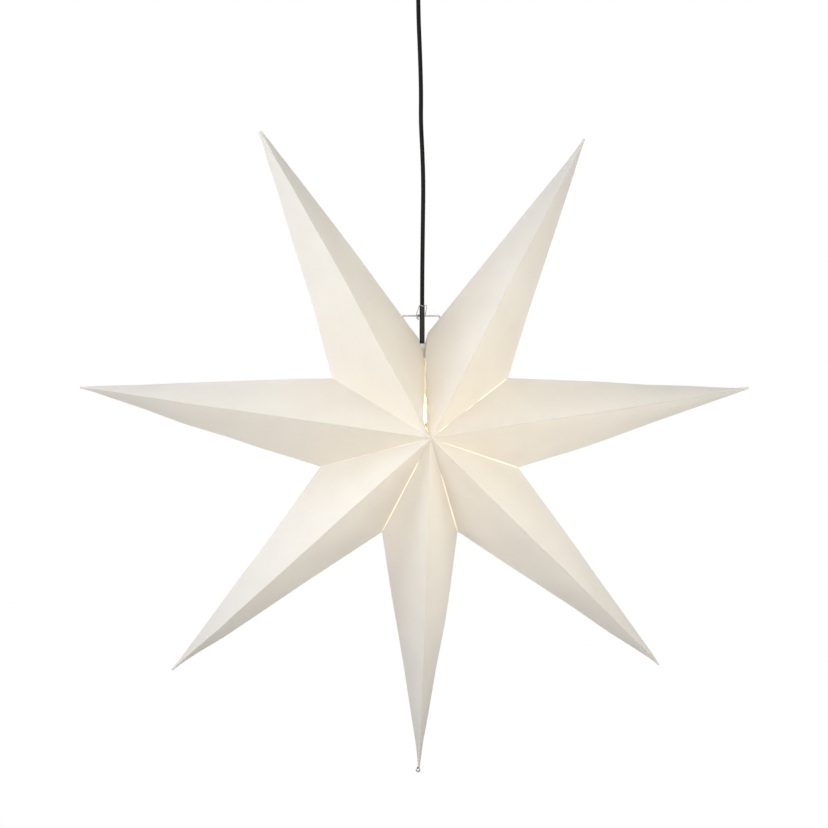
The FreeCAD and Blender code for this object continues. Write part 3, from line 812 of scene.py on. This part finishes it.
def cord_piece(material):
    path = route_points()
    bm = bmesh.new()
    braided_tube(bm, evenly(path, BRAID_STEP * MM), CORD_RADIUS * MM)
    mesh = mesh_from(bm, "pendant_cord_braid")
    mesh.shade_smooth()
    piece = add_piece("pendant_cord_braid", mesh, material, "lamp_drop")
    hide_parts("pendant_cord")


def at_lamp(points):
    """Points measured from the lamp's axis and the star's centre, in the frame's mm."""
    return [(LAMP_X + x, y, up + STAR_UP) for x, y, up in points]


def loop_ring():
    """Closed turn round the cord that rises and falls a little."""
    turns = [math.tau * k / LOOP_RING_POINTS for k in range(LOOP_RING_POINTS + 1)]
    return [(LOOP_RING * math.sin(a), LOOP_RING * math.cos(a),
             LOOP_RING_UP + LOOP_RING_WAVE * math.sin(2 * a)) for a in turns]


def loop_twist():
    """Turns of the wire's left end, wound downwards round the hanger."""
    x, y, up = TWIST_CENTRE
    wide, deep = TWIST_RADII
    turns = [TWIST_STEP * k for k in range(TWIST_POINTS)]
    return [(x + wide * math.cos(a), y + deep * math.sin(a), up - TWIST_DROP * a) for a in turns]


def wire_loop_piece(material):
    """One wire: round the cord, a twisted leg to the hanger on the left, an eye on the right."""
    for name, points in (("wire_loop_ring", loop_ring()), ("wire_loop_left", LOOP_LEFT),
                         ("wire_loop_twist", loop_twist()), ("wire_loop_right", LOOP_RIGHT)):
        curve = nurbs_curve(name, at_lamp(points), LOOP_WIRE, WIRE_STEPS)
        add_piece(name, curve, material, "star")
    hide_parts("cord_loop")


# Carried-over nodes


def finish_nodes(frame, materials):
    """Every CAD node that stays takes its slot's material here."""
    for name, node in frame["nodes"].items():
        if node.hide_render:
            continue
        finish = materials[NODE_SLOTS[name]]
        if not node.material_slots:
            node.data.materials.append(finish)
        for slot in node.material_slots:
            slot.material = finish


# Studio


def make_stage():
    """Pale floor that curves up into a back wall."""
    bm = bmesh.new()
    bend_from = STAGE_BACK - STAGE_BEND
    profile = [(STAGE_FRONT, STAGE_FLOOR), (bend_from, STAGE_FLOOR)]
    for k in range(1, STAGE_BEND_STEPS + 1):
        turn = math.pi / 2 * k / STAGE_BEND_STEPS
        profile.append((bend_from + STAGE_BEND * math.sin(turn),
                        STAGE_FLOOR + STAGE_BEND * (1 - math.cos(turn))))
    profile.append((STAGE_BACK, STAGE_TOP))
    rows = [[bm.verts.new((x, y, z)) for y, z in profile]
            for x in (-STAGE_HALF_WIDTH, STAGE_HALF_WIDTH)]
    for k in range(len(profile) - 1):
        bm.faces.new((rows[1][k], rows[1][k + 1], rows[0][k + 1], rows[0][k]))
    mesh = mesh_from(bm, "studio_floor")
    mesh.shade_smooth()
    floor = bpy.data.objects.new("studio_floor", mesh)
    show(floor)
    mesh.materials.append(stage_material())


def face_star(thing, distance, azimuth, elevation):
    """Puts a lamp or camera at a place seen from the star, azimuth 0 in front, facing it."""
    turn, rise = math.radians(azimuth), math.radians(elevation)
    direction = Vector((math.sin(turn) * math.cos(rise), -math.cos(turn) * math.cos(rise),
                        math.sin(rise)))
    thing.location = CENTRE + direction * distance
    thing.rotation_euler = (-direction).to_track_quat("-Z", "Y").to_euler()
    show(thing)


def add_studio_light(name, distance, azimuth, elevation, size, power, colour):
    light = bpy.data.lights.new(name, "AREA")
    light.shape = "DISK"
    light.size = size
    light.energy = power
    light.color = colour
    lamp = bpy.data.objects.new(name, light)
    lamp.visible_camera = False
    face_star(lamp, distance, azimuth, elevation)


def add_bulb_light():
    bulb = bpy.data.lights.new("bulb_light", "POINT")
    bulb.energy = BULB_POWER
    bulb.color = BULB_COLOUR
    bulb.shadow_soft_size = BULB_SIZE
    glow = bpy.data.objects.new("bulb_light", bulb)
    glow.location = BULB_CENTRE
    show(glow)


def make_world():
    """Soft light from all around; the camera sees the same even white as on the stage."""
    world = bpy.data.worlds.new("studio_air")
    world.use_nodes = True
    nodes, links = world.node_tree.nodes, world.node_tree.links
    air = nodes["Background"]
    air.inputs["Strength"].default_value = WORLD_STRENGTH
    air.inputs["Color"].default_value = (*WORLD_COLOUR, 1.0)
    even = nodes.new("ShaderNodeBackground")
    even.inputs["Color"].default_value = STAGE_WHITE
    mix = mixed(nodes, links, air.outputs["Background"], even.outputs["Background"])
    path = nodes.new("ShaderNodeLightPath")
    links.new(path.outputs["Is Camera Ray"], mix.inputs["Fac"])
    links.new(mix.outputs["Shader"], nodes["World Output"].inputs["Surface"])
    bpy.context.scene.world = world


def make_camera():
    camera = bpy.data.cameras.new("camera")
    camera.sensor_width = SENSOR
    camera.lens = FOCAL_PIXELS / IMAGE * SENSOR
    camera.shift_x = -SHIFT_PIXELS[0] / IMAGE
    camera.shift_y = SHIFT_PIXELS[1] / IMAGE
    camera.clip_end = CAMERA_REACH
    seen = bpy.data.objects.new("camera", camera)
    face_star(seen, CAMERA_DISTANCE, CAMERA_AZIMUTH, CAMERA_ELEVATION)
    bpy.context.scene.camera = seen


def set_look():
    settings = bpy.context.scene.view_settings
    settings.view_transform = "Standard"
    settings.look = "None"


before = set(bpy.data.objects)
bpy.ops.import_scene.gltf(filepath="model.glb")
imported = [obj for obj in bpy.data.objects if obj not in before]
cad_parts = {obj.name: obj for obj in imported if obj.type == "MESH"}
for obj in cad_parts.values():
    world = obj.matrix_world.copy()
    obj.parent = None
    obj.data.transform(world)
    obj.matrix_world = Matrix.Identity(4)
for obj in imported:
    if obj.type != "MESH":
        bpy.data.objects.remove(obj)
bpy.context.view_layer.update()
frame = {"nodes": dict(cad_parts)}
materials = make_materials()
for point_name in POINTS:
    star_point_piece(point_name, materials["star_paper"], materials["painted_glow_flap"])
cord_piece(materials["cord_textile"])
wire_loop_piece(materials["wire_steel"])
finish_nodes(frame, materials)
make_stage()
make_world()
for light_entry in STUDIO_LIGHTS:
    add_studio_light(*light_entry)
add_bulb_light()
make_camera()
set_look()
